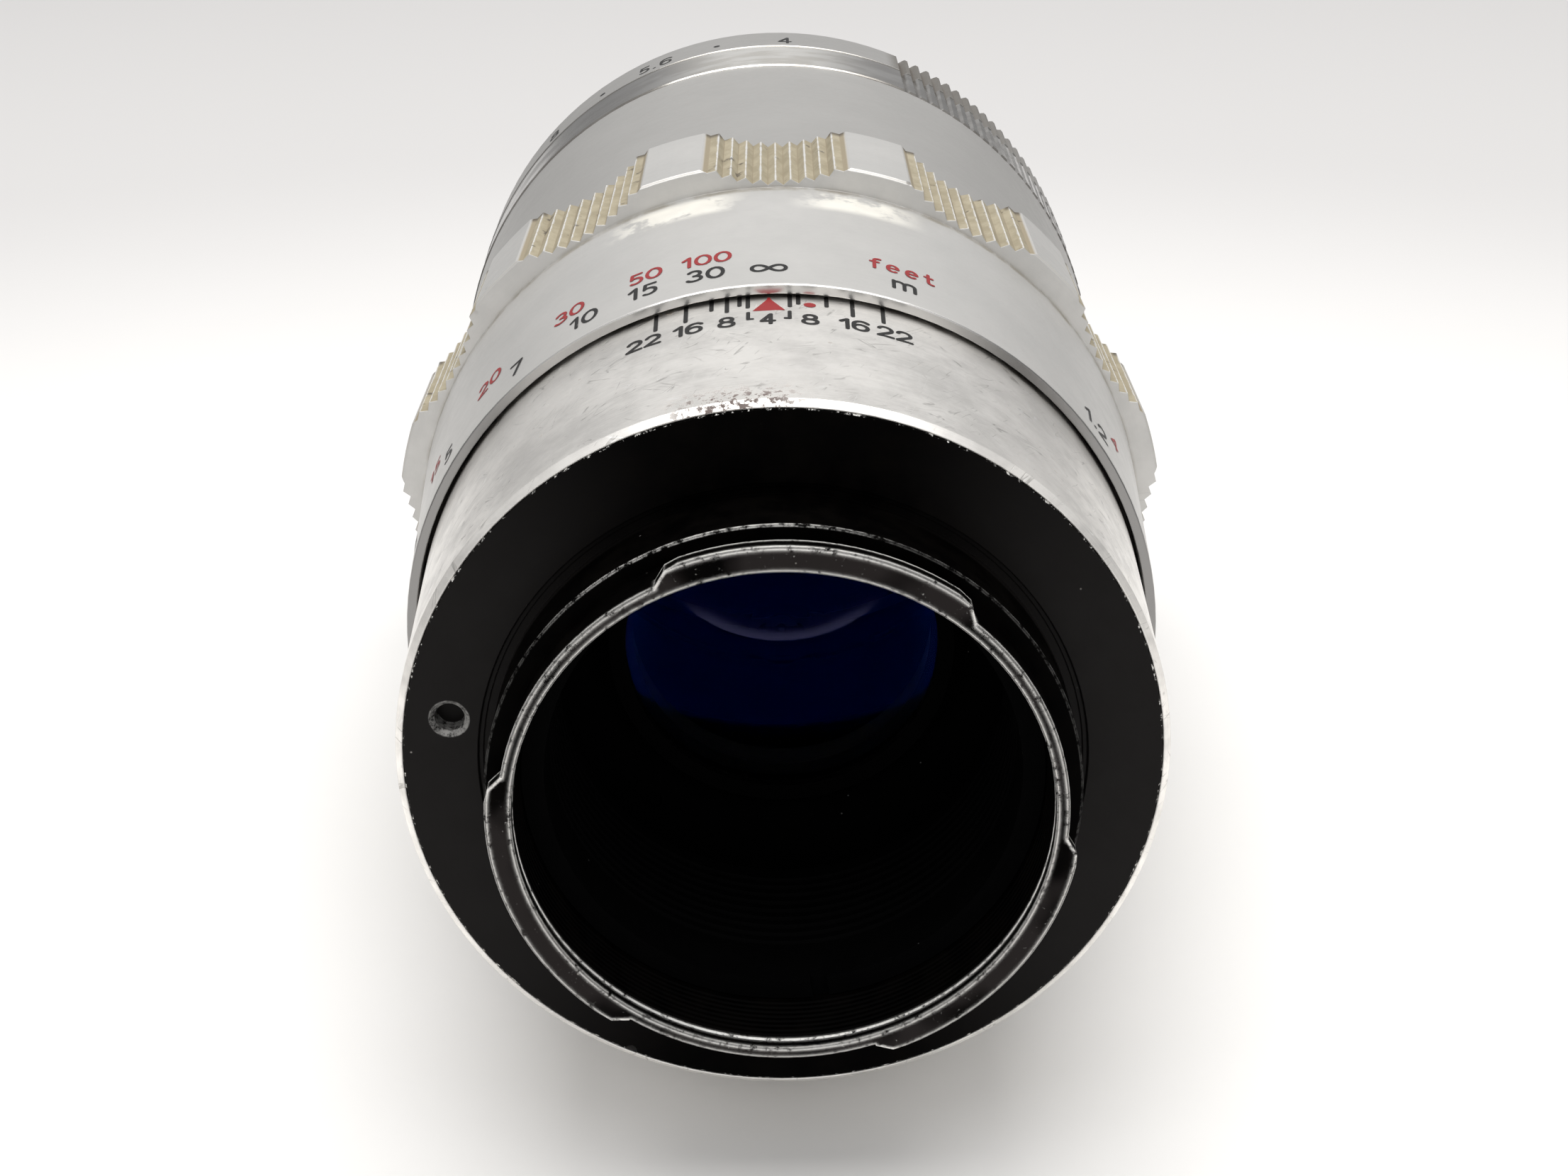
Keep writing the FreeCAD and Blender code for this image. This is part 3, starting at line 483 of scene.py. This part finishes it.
# ------------------------------------------------------------------ black finishes
def mount_black():
    """Black finish worn through to bare metal along the bayonet's edges."""
    g = Graph("worn_black_mount")
    radius, angle, along = g.polar()
    lines = g.lathe_lines(0.16)
    cloud = g.noise(g.place, 0.35, 4.0, 0.6)
    # The flange face is painted lighter and glossier at its sides: a painted sheen standing in for the
    # bow-tie highlight of its turned finish.
    sides = g.math("ABSOLUTE", g.math("SINE", angle))
    side_sheen = g.math("MULTIPLY", g.smooth(sides, 0.25, 0.95), g.smooth(along, -0.6, -0.1))
    colour = g.mix(g.smooth(cloud, 0.35, 0.7), (0.0005, 0.0004, 0.0004), (0.0016, 0.0013, 0.0011))
    colour = g.mix(g.math("MULTIPLY", side_sheen, 0.8), colour, (0.0085, 0.0075, 0.0072))
    lug_face = g.many("MULTIPLY", g.smooth(along, LUG_FACE_Y[1], LUG_FACE_Y[0]),
                      g.smooth(radius, 19.9, 20.0))
    mottle = g.smooth(g.noise(g.place, 0.16, 2.0, 0.5), 0.36, 0.56)
    colour = g.mix(g.math("MULTIPLY", lug_face, mottle), colour, (0.019, 0.0165, 0.016))
    chips = g.noise(g.place, 1.6, 5.0, 0.75)
    rear = g.smooth(along, -6.9, -7.3)
    worn = g.many("MULTIPLY", g.edge(0.5, 0.90, 0.995), rear, g.smooth(chips, 0.34, 0.50))
    pilot = g.many("MULTIPLY", g.between(along, -5.45, -5.05, 0.08), g.smooth(radius, 22.0, 22.15),
                   g.edge(0.45, 0.88, 0.99))
    top_left = g.between(g.degrees(), -42.0, 12.0, 14.0)
    pilot = g.many("MULTIPLY", pilot, g.smooth(chips, 0.40, 0.56), g.lerp(top_left, 0.14, 1.0))
    rub = g.many("MULTIPLY", lug_face, g.smooth(g.noise(g.place, 2.4, 5.0, 0.8), 0.64, 0.72), 0.4)
    rim = g.math("MULTIPLY", g.between(radius, 28.85, 29.05, 0.03), g.smooth(chips, 0.55, 0.62))
    hole = Vector((math.sin(LOCK_HOLE), 0.0, math.cos(LOCK_HOLE))) * LOCK_HOLE_OUT
    ring = g.many("MULTIPLY", g.between(g.reach(hole), *LOCK_RING_R, 0.06),
                  g.smooth(along, -0.2, -0.05), g.smooth(chips, 0.36, 0.58))
    bare = g.many("MAXIMUM", worn, pilot, rub, g.math("MULTIPLY", rim, 0.8),
                  g.math("MULTIPLY", ring, 0.25))
    dust = g.smooth(g.cells(g.place, 0.42), 0.045, 0.02)
    dust = g.math("MULTIPLY", dust, g.smooth(g.noise(g.place, 0.17, 1.0), 0.52, 0.60))
    colour = g.mix(bare, colour, BARE_METAL)
    colour = g.mix(g.math("MULTIPLY", dust, 0.5), colour, (0.45, 0.43, 0.40))
    sheen = g.lerp(g.smooth(cloud, 0.3, 0.7), 0.38, 0.52)
    rough = g.lerp(bare, sheen, 0.36)
    height = g.math("SUBTRACT", g.math("MULTIPLY", lines, 0.4), g.math("MULTIPLY", bare, 0.5))
    normal = g.bump(height, 0.35, 0.03, 0.10)
    gloss = g.lerp(side_sheen, 0.015, 0.09)
    return g.finish(Base_Color=colour, Metallic=g.math("MULTIPLY", bare, 0.6), Roughness=rough,
                    Specular_IOR_Level=gloss, Normal=normal)


def matte_black(name, tone=0.0012, rough=0.7, pitch=0.35):
    """Flat anti-reflection black with fine turned grooves."""
    g = Graph(name)
    g.polar()
    lines = g.lathe_lines(pitch)
    cloud = g.noise(g.place, 0.5, 4.0, 0.6)
    colour = g.mix(cloud, (tone * 0.6, tone * 0.6, tone * 0.65),
                   (tone * 1.5, tone * 1.5, tone * 1.6))
    dust = g.smooth(g.cells(g.place, 0.5), 0.05, 0.02)
    dust = g.math("MULTIPLY", dust, g.smooth(g.noise(g.place, 0.21, 1.0), 0.56, 0.62))
    colour = g.mix(g.math("MULTIPLY", dust, 0.35), colour, (0.4, 0.4, 0.4))
    normal = g.bump(lines, 0.5, 0.05)
    return g.finish(Base_Color=colour, Roughness=rough, Specular_IOR_Level=0.02, Normal=normal)


def blade_steel():
    """Thin blued spring steel; each blade, by its level in the stack, has its own tone."""
    g = Graph("blade_steel")
    _, _, along = g.polar()
    cloud = g.noise(g.place, 0.4, 4.0, 0.6)
    level = g.math("FLOOR", g.math("DIVIDE", g.math("SUBTRACT", along, BLADE_STACK_Y), BLADE_PITCH))
    own = g.node("TexWhiteNoise", {"noise_dimensions": "1D"}, W=level)
    tone = g.math("ADD", g.math("MULTIPLY", cloud, 0.25), g.math("MULTIPLY", own.outputs["Value"], 0.75))
    colour = g.mix(tone, (0.022, 0.023, 0.027), (0.085, 0.086, 0.096))
    normal = g.bump(g.noise(g.place, 6.0, 2.0), 0.08, 0.02)
    return g.finish(Base_Color=colour, Metallic=0.8, Roughness=0.42, Normal=normal)


def coated_glass(name, tint, rim_tint, strength, coated, ghost=None):
    """Clear glass; only the faces between the two places along the axis reflect much."""
    g = Graph(name)
    radius, _, along = g.polar()
    film = g.noise(g.place, 0.15, 3.0, 0.6)
    surface = g.node("NewGeometry")
    normal = g.node("Mix", {"data_type": "VECTOR"})
    g.put(normal.inputs["Factor"], g.smooth(radius, POLE_RADIUS, POLE_RADIUS - 0.3))
    g.put(normal.inputs[4], surface.outputs["Normal"])
    g.put(normal.inputs[5], surface.outputs["True Normal"])
    facing = normal.outputs[1]
    clear = g.node("BsdfRefraction", None, Color=(0.985, 0.985, 0.975), Roughness=0.0,
                   IOR=GLASS_INDEX, Normal=facing)
    colour = g.mix(g.smooth(radius, 10.5, 13.2), tint, rim_tint)
    if ghost:
        colour = g.mix(g.crescent(GHOST_RADIUS, GHOST_WIDTH), colour, ghost)
    shine = g.node("BsdfGlossy", None, Color=colour, Roughness=g.lerp(film, 0.0, 0.03), Normal=facing)
    fresnel = g.node("Fresnel", None, IOR=COATING_INDEX, Normal=facing)
    layer = g.lerp(g.between(along, *coated, 0.05), 0.04, strength)
    amount = g.math("MULTIPLY", fresnel.outputs[0], layer, clamp=True)
    mixed = g.node("MixShader")
    g.put(mixed.inputs[0], amount)
    g.put(mixed.inputs[1], clear.outputs[0])
    g.put(mixed.inputs[2], shine.outputs[0])
    g.put(g.output.inputs["Surface"], mixed.outputs[0])
    return g.material


def paint(name, colour):
    """Enamel in engraved marks, thinned here and there so that metal shows."""
    g = Graph(name)
    g.polar()
    chips = g.smooth(g.noise(g.place, 2.2, 4.0, 0.7), 0.66, 0.76)
    mixed = g.mix(g.math("MULTIPLY", chips, 0.75), colour, (0.5, 0.49, 0.47))
    return g.finish(Base_Color=mixed, Roughness=0.45, Specular_IOR_Level=0.3,
                    Normal=g.bump(g.noise(g.place, 5.0, 2.0), 0.2, 0.02))


def assign(material, *names):
    for name in names:
        slots = NODES[name].material_slots
        if not slots:
            NODES[name].data.materials.append(material)
        for slot in slots:
            slot.material = material


def dress_nodes():
    inner_silver = turned_metal("inner_chrome", (0.55, 0.545, 0.53), (0.42, 0.415, 0.40), 0.33)
    brass = turned_metal("brass", (0.72, 0.52, 0.22), (0.50, 0.34, 0.13), 0.30, grease=True)
    steel = turned_metal("steel", (0.48, 0.48, 0.48), (0.33, 0.33, 0.33), 0.30)
    matte = matte_black("matte_black")
    assign(fixed_ring_metal(), "fixed_barrel")
    assign(focus_ring_metal(), "focus_ring")
    assign(front_barrel_metal(), "front_barrel")
    assign(stop_ring_metal(), "aperture_ring")
    assign(filter_rim_metal(), "filter_rim")
    assign(mount_black(), "bayonet_mount")
    assign(inner_silver, "focus_sleeve")
    assign(brass, "helicoid_nut", "guide_key_1", "guide_key_2", "aperture_drive_pin")
    assign(steel, "guide_screw_1", "guide_screw_2", "click_ball", "click_spring", "click_spring_screw",
           *["mount_screw_%d" % (i + 1) for i in range(4)],
           *["joining_screw_%d" % (i + 1) for i in range(3)])
    assign(matte, "rear_baffle", "middle_baffle", "inner_barrel", "focus_retaining_ring",
           "rear_cell", "rear_retaining_ring", "iris_housing", "iris_cam_ring",
           "iris_retaining_ring", "front_cell", "element_spacer", "front_retaining_ring",
           "front_cover_ring")
    blade = blade_steel()
    for name in NODES:
        if name.startswith("iris_blade_"):
            assign(blade, name)
    blue = coated_glass("rear_glass", (0.0, 0.003, 0.15), (0.0, 0.016, 0.25), 0.9, REAR_GLASS_Y,
                        GHOST_TINT)
    assign(blue, "rear_element")
    purple = (0.30, 0.16, 0.75)
    assign(coated_glass("front_glass", purple, purple, 0.6, FRONT_GLASS_Y),
           "second_element", "front_element")


# ------------------------------------------------------------------ engraved marks
def arc(cx, cy, rx, ry, start, end, steps=16):
    """Points on part of an ellipse, anticlockwise from its right-hand side."""
    angles = [math.radians(start + (end - start) * i / steps) for i in range(steps + 1)]
    return [(cx + rx * math.cos(a), cy + ry * math.sin(a)) for a in angles]


def sideways_eight(width, height, steps=48):
    """Points round an infinity sign."""
    points = []
    for i in range(steps + 1):
        t = 2.0 * math.pi * i / steps
        d = 1.0 + math.sin(t) ** 2
        x = math.cos(t) / d
        y = math.sin(t) * math.cos(t) / d
        points.append((width / 2.0 * (1.0 + x), 0.42 + y * height * 1.4))
    return points


# Each letter is (width, strokes) for a letter one unit high.
LETTERS = {
    "0": (0.66, [arc(0.33, 0.5, 0.33, 0.5, 0, 360)]),
    "1": (0.36, [[(0.02, 0.74), (0.30, 1.0), (0.30, 0.0)]]),
    "2": (0.64, [arc(0.32, 0.71, 0.29, 0.29, 165, -35) + [(0.0, 0.0), (0.64, 0.0)]]),
    "3": (0.62, [arc(0.30, 0.75, 0.26, 0.25, 150, -90), arc(0.30, 0.25, 0.31, 0.25, 90, -150)]),
    "4": (0.66, [[(0.48, 0.0), (0.48, 1.0), (0.0, 0.28), (0.66, 0.28)]]),
    "5": (0.60, [[(0.55, 1.0), (0.12, 1.0), (0.09, 0.53)], arc(0.28, 0.31, 0.31, 0.31, 128, -128)]),
    "6": (0.62, [arc(0.31, 0.31, 0.31, 0.31, 0, 360),
                 arc(0.36, 0.60, 0.36, 0.40, 40, 180) + [(0.0, 0.31)]]),
    "7": (0.60, [[(0.0, 1.0), (0.60, 1.0), (0.22, 0.0)]]),
    "8": (0.62, [arc(0.31, 0.76, 0.25, 0.24, 0, 360), arc(0.31, 0.26, 0.31, 0.26, 0, 360)]),
    ".": (0.14, [[(0.05, 0.03), (0.09, 0.03)]]),
    "m": (0.80, [[(0.0, 0.0), (0.0, 0.70)], arc(0.20, 0.48, 0.20, 0.20, 180, 0) + [(0.40, 0.0)],
                 arc(0.60, 0.48, 0.20, 0.20, 180, 0) + [(0.80, 0.0)]]),
    "f": (0.32, [[(0.14, 0.0), (0.14, 0.80)] + arc(0.32, 0.80, 0.18, 0.18, 170, 75),
                 [(0.0, 0.64), (0.30, 0.64)]]),
    "e": (0.42, [[(0.01, 0.36), (0.41, 0.36)] + arc(0.21, 0.34, 0.21, 0.34, 5, 305)]),
    "t": (0.32, [[(0.13, 0.94), (0.13, 0.18)] + arc(0.28, 0.17, 0.15, 0.16, 190, 290),
                 [(0.0, 0.66), (0.30, 0.66)]]),
    "inf": (1.42, [sideways_eight(1.42, 0.60)]),
}


def split_corners(points):
    """Breaks a line where it turns sharply, so that each run can have round ends."""
    runs = [[points[0]]]
    for i in range(1, len(points)):
        runs[-1].append(points[i])
        if i + 1 < len(points):
            ax, ay = points[i][0] - points[i - 1][0], points[i][1] - points[i - 1][1]
            bx, by = points[i + 1][0] - points[i][0], points[i + 1][1] - points[i][1]
            turn = abs(math.atan2(ax * by - ay * bx, ax * bx + ay * by))
            if turn > math.radians(40.0):
                runs.append([points[i]])
    return runs


def ribbon(points, half):
    """Polygons of a line with a width and round ends."""
    closed = math.dist(points[0], points[-1]) < 1e-6
    count = len(points)
    left = []
    right = []
    for i, (x, y) in enumerate(points):
        before = points[i - 1] if i else (points[-2] if closed else points[0])
        after = points[i + 1] if i + 1 < count else (points[1] if closed else points[-1])
        dx, dy = after[0] - before[0], after[1] - before[1]
        n = math.hypot(dx, dy)
        left.append((x - dy / n * half, y + dx / n * half))
        right.append((x + dy / n * half, y - dx / n * half))
    faces = [[left[i], right[i], right[i + 1], left[i + 1]] for i in range(count - 1)]
    if not closed:
        for end, start in ((points[0], right[0]), (points[-1], left[-1])):
            base = math.atan2(start[1] - end[1], start[0] - end[0])
            cap = [(end[0] + half * math.cos(base - math.pi * k / 8.0),
                    end[1] + half * math.sin(base - math.pi * k / 8.0)) for k in range(9)]
            faces.append(cap)
    return faces


def word_faces(word, height, half, spacing=0.24, widen=1.0):
    """Polygons of a word centred on its own middle, baseline at zero."""
    keys = [word] if word in LETTERS else list(word)
    total = sum(LETTERS[k][0] * widen for k in keys) + spacing * (len(keys) - 1)
    pen = -total / 2.0
    faces = []
    for key in keys:
        width, strokes = LETTERS[key]
        for stroke in strokes:
            placed = [((pen + x * widen) * height, y * height) for x, y in stroke]
            for run in split_corners(placed):
                faces += ribbon(run, half)
        pen += width * widen + spacing
    return faces


def cone_radius(cone, y):
    y0, r0, y1, r1 = cone
    return r0 + (r1 - r0) * (y - y0) / (y1 - y0)


def wrap(name, cone, items, material, body):
    """Lays flat polygons on a cone: each item is (polygons, angle, y of the baseline)."""
    vertices = []
    polygons = []
    for faces, deg, y0 in items:
        middle = cone_radius(cone, y0)
        for face in faces:
            polygon = []
            for u, v in face:
                y = y0 + v
                radius = cone_radius(cone, y) + MARK_LIFT
                a = math.radians(deg) + u / middle
                polygon.append(len(vertices))
                vertices.append((radius * math.sin(a) * MM, y * MM, radius * math.cos(a) * MM))
            polygons.append(polygon)
    mesh = bpy.data.meshes.new(name)
    mesh.from_pydata(vertices, [], polygons)
    mesh.materials.append(material)
    mesh.update()
    piece = bpy.data.objects.new(name, mesh)
    bpy.context.scene.collection.objects.link(piece)
    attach(piece, body)


def upright(height, half):
    return ribbon([(0.0, 0.0), (0.0, height)], half)


def depth_scale(black, red):
    """Depth-of-field ticks, numbers, triangle and infrared dot on the fixed ring."""
    ticks = []
    for stop, length in ((4, 2.1), (5.6, 1.5), (8, 2.6), (11, 1.7), (16, 3.0), (22, 3.0)):
        for side in (-1.0, 1.0):
            if side > 0 and stop == 8:
                continue
            deg = INDEX_DEG + side * DEGREES_PER_STOP_NUMBER * stop
            ticks.append((upright(length + 0.3, 0.18), deg, SEAM_Y - length))
    numbers = []
    for word, deg in (("22", -18.9), ("16", -12.08), ("8", -6.23), ("4", -0.15), ("8", 6.06),
                      ("16", 12.55), ("22", 18.73)):
        widen = 0.74 if word == "4" else 0.92
        numbers.append((word_faces(word, 1.95, 0.175, 0.20, widen), INDEX_DEG + deg, DEPTH_NUMBERS_Y))
    brackets = []
    for side in (-1.0, 1.0):
        corner = [(side * 1.62, 1.45), (side * 1.62, 0.0), (side * 1.30, 0.0)]
        for run in split_corners(corner):
            brackets.append((ribbon(run, 0.16), INDEX_DEG, DEPTH_BRACKETS_Y))
    wrap("depth_scale_black", FIXED_CONE, ticks + numbers + brackets, black, "fixed_body")
    slices = 10
    triangle = []
    for i in range(slices):
        low, high = i / slices, (i + 1) / slices
        wide, narrow = [max(0.12, TRIANGLE_HALF_WIDTH * (1.0 - t) ** 1.08) for t in (low, high)]
        base, top = TRIANGLE_HEIGHT * low, TRIANGLE_HEIGHT * high
        triangle.append([(-wide, base), (wide, base), (narrow, top), (-narrow, top)])
    dot = [arc(0.0, 0.0, 0.49, 0.49, 0, 337.5, 15)]
    marks = [(triangle, INDEX_DEG, TRIANGLE_Y), (dot, INDEX_DEG + INFRARED_DOT_DEG, INFRARED_DOT_Y)]
    wrap("index_marks_red", FIXED_CONE, marks, red, "fixed_body")


def focus_angle(extension):
    """Angle on the scale for a helicoid extension in millimetres."""
    return INDEX_DEG - DEGREES_PER_MM * extension


def extension_for(distance):
    """Extension in millimetres that focuses at a distance in metres."""
    m = distance / (FOCAL_LENGTH * MM) - 2.0
    magnification = (m - math.sqrt(m * m - 4.0)) / 2.0
    return FOCAL_LENGTH * magnification


def distance_scale(black, red):
    """Metres in black and feet in red, spaced by the helicoid's own law."""
    metres = [("inf", INDEX_DEG)]
    for value in (30, 15, 10, 7, 5, 4, 3, 2.5, 2, 1.7, 1.5, 1.4, 1.3, 1.2):
        metres.append(("%g" % value, focus_angle(extension_for(value))))
    items = []
    for word, deg in metres:
        items.append((word_faces(word, 2.2, 0.17, 0.22, 0.88), deg + 0.1, METRES_Y))
    items.append((word_faces("m", 2.25, 0.17), INDEX_DEG + 20.0, METRES_Y))
    wrap("metres_scale", SCALE_CONE, items, black, "focusing_ring")
    items = []
    for value in (100, 50, 30, 20, 15, 12, 10, 8, 7, 6, 5.5, 5, 4.5, 4):
        deg = focus_angle(extension_for(value * METRES_PER_FOOT))
        items.append((word_faces("%g" % value, 2.05, 0.165, 0.22, 0.88), deg + 0.1, FEET_Y))
    items.append((word_faces("feet", 2.1, 0.16, 0.36), INDEX_DEG + 19.85, FEET_Y))
    wrap("feet_scale", SCALE_CONE, items, red, "focusing_ring")


def stop_scale(black):
    """Stop numbers, nearly evenly spaced, with a dot for the half steps that are marked."""
    items = []
    for word, deg in (("4", 0.0), ("5.6", -24.2), ("8", -47.0), ("11", -71.0), ("16", -95.0),
                      ("22", -119.0)):
        items.append((word_faces(word, 2.6, 0.16, 0.24, 0.72), STOP_FOUR_DEG + deg, STOP_NUMBERS_Y))
    for deg in (-12.4, -35.2):
        items.append(([arc(0.0, 0.0, 0.36, 0.36, 0, 330, 11)], STOP_FOUR_DEG + deg, STOP_DOTS_Y))
    wrap("stop_scale", STOP_CONE, items, black, "stop_ring")


def draw_marks():
    black = paint("black_enamel", (0.004, 0.0035, 0.0035))
    red = paint("red_enamel", (0.26, 0.012, 0.014))
    depth_scale(black, red)
    distance_scale(black, red)
    stop_scale(black)


# ------------------------------------------------------------------ table, light and camera
def table():
    """A pale table top, painted darker far from the lens: a painted falloff of light as under a single
    soft lamp.
    """
    low = cad_box[0][2]
    bpy.ops.mesh.primitive_plane_add(size=6.0, location=(0.0, 0.0, low))
    floor = bpy.context.object
    floor.name = "table"
    g = Graph("pale_table")
    x, y, _ = g.node("SeparateXYZ", None, Vector=g.node("TexCoord").outputs["Object"]).outputs
    away = g.math("SQRT", g.math("ADD", g.math("MULTIPLY", x, x), g.math("MULTIPLY", y, y)))
    tone = g.noise(g.node("TexCoord").outputs["Object"], 20.0, 3.0)
    colour = g.mix(tone, (0.80, 0.79, 0.775), (0.84, 0.83, 0.82))
    # Painted falloff of light: the table's colour darkens in two steps away from the lens.
    colour = g.mix(g.smooth(away, 0.13, 0.36), colour, (0.605, 0.595, 0.59))
    colour = g.mix(g.smooth(away, 0.55, 1.4), colour, (0.36, 0.355, 0.35))
    floor.data.materials.append(g.finish(Base_Color=colour, Roughness=0.65, Specular_IOR_Level=0.2))


def area_light(name, where, target, size, power, colour=(1.0, 1.0, 1.0)):
    data = bpy.data.lights.new(name, "AREA")
    data.shape = "RECTANGLE"
    data.size, data.size_y = size
    data.energy = power
    data.color = colour
    lamp = bpy.data.objects.new(name, data)
    lamp.location = where
    lamp.rotation_euler = (Vector(target) - Vector(where)).to_track_quat("-Z", "Y").to_euler()
    bpy.context.scene.collection.objects.link(lamp)


def room():
    """A pale room: dim at the horizon, bright windows ahead of the lens and above its rear."""
    g = Graph("room", bpy.data.worlds, "ShaderNodeOutputWorld")
    bpy.context.scene.world = g.material
    way = g.node("TexCoord").outputs["Generated"]
    x, y, z = g.node("SeparateXYZ", None, Vector=way).outputs
    height = g.math("MULTIPLY", g.math("ARCSINE", z), 180.0 / math.pi)
    aside = g.math("ABSOLUTE", g.math("MULTIPLY", g.math("ARCTAN2", x, y), 180.0 / math.pi))
    sky = g.lerp(g.smooth(height, 2.0, 20.0), 0.34, 0.60)
    ahead = g.math("MULTIPLY", g.smooth(aside, 34.0, 8.0), g.between(height, 9.0, 40.0, 6.0))
    sky = g.lerp(ahead, sky, 0.66)
    window = g.node("VectorMath", {"operation": "DOT_PRODUCT"}, Vector=way)
    g.put(window.inputs[1], (0.0, -0.70, 0.714))
    sky = g.lerp(g.smooth(window.outputs["Value"], 0.76, 0.90), sky, 1.25)
    tint = g.node("CombineXYZ", X=1.0, Y=1.0, Z=1.0).outputs[0]
    light = g.node("VectorMath", {"operation": "SCALE"}, Vector=tint, Scale=sky).outputs[0]
    shader = g.node("Background", None, Color=light, Strength=1.0)
    g.put(g.output.inputs["Surface"], shader.outputs[0])


def lights():
    room()
    area_light("overhead", (0.0, 0.02, 0.95), (0.0, 0.02, 0.0), (0.9, 0.9), 9.0, (1.0, 0.99, 0.975))
    bpy.context.scene.view_settings.view_transform = "Standard"


def camera():
    """Low view of the rear of the lens from just above its mount."""
    level = math.cos(CAMERA_PITCH)
    ahead = Vector((math.sin(CAMERA_YAW) * level, math.cos(CAMERA_YAW) * level,
                    -math.sin(CAMERA_PITCH)))
    right = Vector((math.cos(CAMERA_YAW), -math.sin(CAMERA_YAW), 0.0))
    up = right.cross(ahead)
    tilted_right = right * math.cos(CAMERA_ROLL) + up * math.sin(CAMERA_ROLL)
    tilted_up = up * math.cos(CAMERA_ROLL) - right * math.sin(CAMERA_ROLL)
    data = bpy.data.cameras.new("camera")
    data.sensor_fit = "HORIZONTAL"
    data.sensor_width = 36.0
    data.lens = CAMERA_LENS
    data.clip_start = 0.005
    view = bpy.data.objects.new("camera", data)
    axes = Matrix((tilted_right, tilted_up, -ahead)).transposed()
    view.matrix_world = Matrix.Translation(CAMERA_PLACE) @ axes.to_4x4()
    bpy.context.scene.collection.objects.link(view)
    bpy.context.scene.camera = view


dress_nodes()
draw_marks()
table()
lights()
camera()
